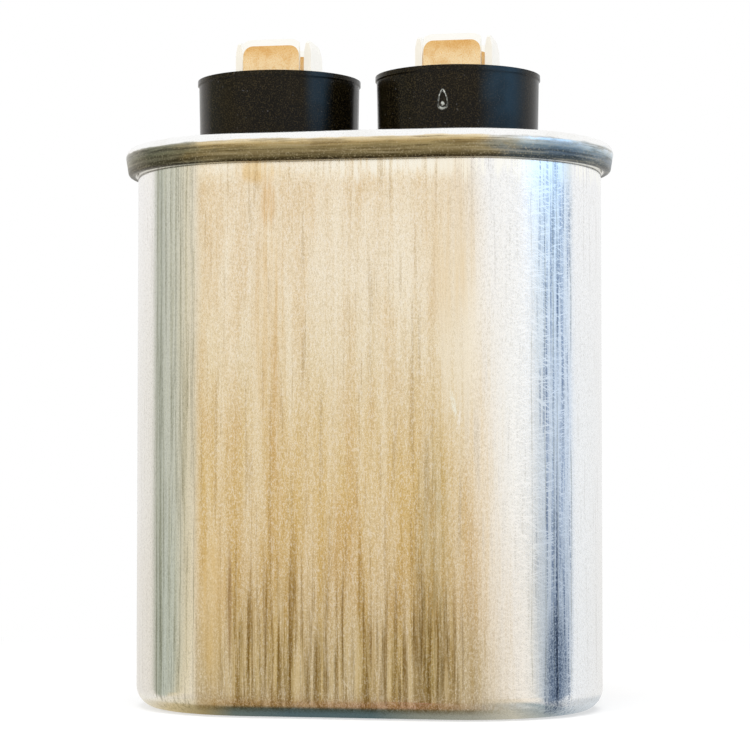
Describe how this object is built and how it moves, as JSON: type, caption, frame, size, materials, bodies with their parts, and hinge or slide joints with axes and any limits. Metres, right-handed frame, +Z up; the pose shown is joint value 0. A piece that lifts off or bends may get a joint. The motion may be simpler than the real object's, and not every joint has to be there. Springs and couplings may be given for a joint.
{
  "type": "motor run capacitor",
  "caption": "Oval metal-can motor run capacitor with a rolled top seam and upright push-on blades in insulating cups; stands on its flat base.",
  "frame": {"origin": "middle of the oval on the flat base", "axes": "+Z up from the base to the terminals, +X along the oval's length through both terminals, -Y towards the viewer in front of a flat side"},
  "size_m": [0.0548, 0.0332, 0.0743],
  "materials": {
    "can_aluminium": "drawn, bright with fine vertical lines",
    "cover_aluminium": "pressed and rolled, satin",
    "seam_rubber": "dried compound",
    "cup_phenolic": "moulded, satin",
    "blade_brass": "stamped",
    "rivet_steel": "plated",
    "gasket_rubber": "matte",
    "bushing_nylon": "moulded",
    "tinned_copper": "tinned",
    "sleeve_plastic": "extruded",
    "solder": "bright",
    "metallised_film": "wound film",
    "core_plastic": "extruded",
    "sprayed_zinc": "rough sprayed",
    "wrap_film": "clear film",
    "insulating_board": "punched",
    "tray_plastic": "moulded"
  },
  "bodies": {
    "root": {"can": "can_aluminium", "cover": "cover_aluminium", "seam_compound": "seam_rubber", "left_cup": "cup_phenolic", "right_cup": "cup_phenolic", "left_terminal": "blade_brass", "right_terminal": "blade_brass", "left_rivet": "rivet_steel", "right_rivet": "rivet_steel", "left_gasket": "gasket_rubber", "right_gasket": "gasket_rubber", "left_bushing": "bushing_nylon", "right_bushing": "bushing_nylon", "left_lug": "tinned_copper", "right_lug": "tinned_copper", "short_lead": "tinned_copper", "long_lead": "tinned_copper", "lead_sleeve": "sleeve_plastic", "upper_solder": "solder", "lower_solder": "solder", "winding": "metallised_film", "winding_core": "core_plastic", "upper_spray": "sprayed_zinc", "lower_spray": "sprayed_zinc", "insulating_wrap": "wrap_film", "insulating_plate": "insulating_board", "insulating_tray": "tray_plastic"}
  },
  "joints": []
}
